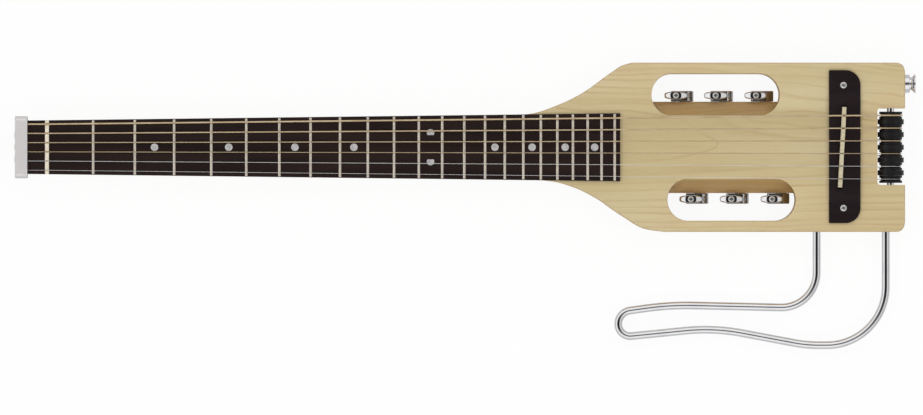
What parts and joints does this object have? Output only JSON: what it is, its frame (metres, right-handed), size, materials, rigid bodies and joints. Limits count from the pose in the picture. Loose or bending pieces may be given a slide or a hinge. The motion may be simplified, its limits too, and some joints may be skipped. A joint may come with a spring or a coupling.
{
  "type": "travel guitar",
  "caption": "Headless travel guitar with tuners in slots in its slim body, a roller tailpiece, a dark fingerboard and a wire lap rest.",
  "frame": {"origin": "on the flat back, on the centre line, under the solid wood between the fingerboard and the string well", "axes": "+X along the neck towards the tail, +Y towards the bass side, +Z out of the face"},
  "size_m": [0.7216, 0.2294, 0.0574],
  "materials": {
    "maple": "satin",
    "dark_wood": "satin",
    "bone": "satin",
    "grey_metal": "satin",
    "chrome": "polished",
    "steel": "satin",
    "bronze": "satin",
    "black_plastic": "satin"
  },
  "bodies": {
    "guitar": {"body_neck": "maple", "fingerboard": "dark_wood", "nut": "bone", "truss_rod": "steel", "head_piece": "grey_metal", "head_screw_1": "steel", "head_screw_2": "steel", "head_screw_3": "steel", "string_1": "steel", "string_2": "steel", "string_3": "bronze", "string_4": "bronze", "string_5": "bronze", "string_6": "bronze", "bridge": "dark_wood", "saddle": "bone", "pickup_strip": "grey_metal", "pickup_lead": "black_plastic", "bridge_screw_bass": "steel", "bridge_screw_treble": "steel", "tuner_housing_1": "chrome", "tuner_housing_2": "chrome", "tuner_housing_3": "chrome", "tuner_housing_4": "chrome", "tuner_housing_5": "chrome", "tuner_housing_6": "chrome", "roller_axle": "steel", "roller_spacer_1": "black_plastic", "roller_spacer_2": "black_plastic", "roller_spacer_3": "black_plastic", "roller_spacer_4": "black_plastic", "roller_spacer_5": "black_plastic", "output_socket": "chrome", "socket_nut": "chrome", "strap_flange": "chrome"},
    "button_body_1": {"tuner_button_1": "chrome", "button_screw_1": "steel"},
    "post_body_1": {"string_post_1": "steel"},
    "button_body_2": {"tuner_button_2": "chrome", "button_screw_2": "steel"},
    "post_body_2": {"string_post_2": "steel"},
    "button_body_3": {"tuner_button_3": "chrome", "button_screw_3": "steel"},
    "post_body_3": {"string_post_3": "steel"},
    "button_body_4": {"tuner_button_4": "chrome", "button_screw_4": "steel"},
    "post_body_4": {"string_post_4": "steel"},
    "button_body_5": {"tuner_button_5": "chrome", "button_screw_5": "steel"},
    "post_body_5": {"string_post_5": "steel"},
    "button_body_6": {"tuner_button_6": "chrome", "button_screw_6": "steel"},
    "post_body_6": {"string_post_6": "steel"},
    "roller_body_1": {"roller_1": "black_plastic"},
    "roller_body_2": {"roller_2": "black_plastic"},
    "roller_body_3": {"roller_3": "black_plastic"},
    "roller_body_4": {"roller_4": "black_plastic"},
    "roller_body_5": {"roller_5": "black_plastic"},
    "roller_body_6": {"roller_6": "black_plastic"},
    "lap_rest_body": {"lap_rest": "chrome"}
  },
  "joints": [
    {"name": "button_turn_1", "type": "hinge", "parent": "guitar", "child": "button_body_1", "pos_m": [0.1015, -0.0415, 0.0319], "axis": [0, 0, 1], "continuous": true},
    {"name": "post_turn_1", "type": "hinge", "parent": "guitar", "child": "post_body_1", "pos_m": [0.1091, -0.0366, 0.013], "axis": [0, 1, 0], "continuous": true},
    {"name": "button_turn_2", "type": "hinge", "parent": "guitar", "child": "button_body_2", "pos_m": [0.0689, -0.0415, 0.0319], "axis": [0, 0, 1], "continuous": true},
    {"name": "post_turn_2", "type": "hinge", "parent": "guitar", "child": "post_body_2", "pos_m": [0.0765, -0.0366, 0.013], "axis": [0, 1, 0], "continuous": true},
    {"name": "button_turn_3", "type": "hinge", "parent": "guitar", "child": "button_body_3", "pos_m": [0.0365, -0.0415, 0.0319], "axis": [0, 0, 1], "continuous": true},
    {"name": "post_turn_3", "type": "hinge", "parent": "guitar", "child": "post_body_3", "pos_m": [0.0441, -0.0366, 0.013], "axis": [0, 1, 0], "continuous": true},
    {"name": "button_turn_4", "type": "hinge", "parent": "guitar", "child": "button_body_4", "pos_m": [0.0245, 0.0415, 0.0319], "axis": [0, 0, 1], "continuous": true},
    {"name": "post_turn_4", "type": "hinge", "parent": "guitar", "child": "post_body_4", "pos_m": [0.0321, 0.0366, 0.013], "axis": [0, 1, 0], "continuous": true},
    {"name": "button_turn_5", "type": "hinge", "parent": "guitar", "child": "button_body_5", "pos_m": [0.0563, 0.0415, 0.0319], "axis": [0, 0, 1], "continuous": true},
    {"name": "post_turn_5", "type": "hinge", "parent": "guitar", "child": "post_body_5", "pos_m": [0.0639, 0.0366, 0.013], "axis": [0, 1, 0], "continuous": true},
    {"name": "button_turn_6", "type": "hinge", "parent": "guitar", "child": "button_body_6", "pos_m": [0.0886, 0.0415, 0.0319], "axis": [0, 0, 1], "continuous": true},
    {"name": "post_turn_6", "type": "hinge", "parent": "guitar", "child": "post_body_6", "pos_m": [0.0962, 0.0366, 0.013], "axis": [0, 1, 0], "continuous": true},
    {"name": "roller_spin_1", "type": "hinge", "parent": "guitar", "child": "roller_body_1", "pos_m": [0.1964, -0.0255, 0.0385], "axis": [0, 1, 0], "continuous": true},
    {"name": "roller_spin_2", "type": "hinge", "parent": "guitar", "child": "roller_body_2", "pos_m": [0.1964, -0.0153, 0.0385], "axis": [0, 1, 0], "continuous": true},
    {"name": "roller_spin_3", "type": "hinge", "parent": "guitar", "child": "roller_body_3", "pos_m": [0.1964, -0.0051, 0.0385], "axis": [0, 1, 0], "continuous": true},
    {"name": "roller_spin_4", "type": "hinge", "parent": "guitar", "child": "roller_body_4", "pos_m": [0.1964, 0.0051, 0.0385], "axis": [0, 1, 0], "continuous": true},
    {"name": "roller_spin_5", "type": "hinge", "parent": "guitar", "child": "roller_body_5", "pos_m": [0.1964, 0.0153, 0.0385], "axis": [0, 1, 0], "continuous": true},
    {"name": "roller_spin_6", "type": "hinge", "parent": "guitar", "child": "roller_body_6", "pos_m": [0.1964, 0.0255, 0.0385], "axis": [0, 1, 0], "continuous": true},
    {"name": "lap_rest_slide", "type": "slide", "parent": "guitar", "child": "lap_rest_body", "axis": [0, -1, 0], "range_m": [0, 0.03]}
  ],
  "couplings": [
    {"joint": "post_turn_1", "follows": "button_turn_1", "ratio": 0.071429},
    {"joint": "post_turn_2", "follows": "button_turn_2", "ratio": 0.071429},
    {"joint": "post_turn_3", "follows": "button_turn_3", "ratio": 0.071429},
    {"joint": "post_turn_4", "follows": "button_turn_4", "ratio": -0.071429},
    {"joint": "post_turn_5", "follows": "button_turn_5", "ratio": -0.071429},
    {"joint": "post_turn_6", "follows": "button_turn_6", "ratio": -0.071429}
  ]
}
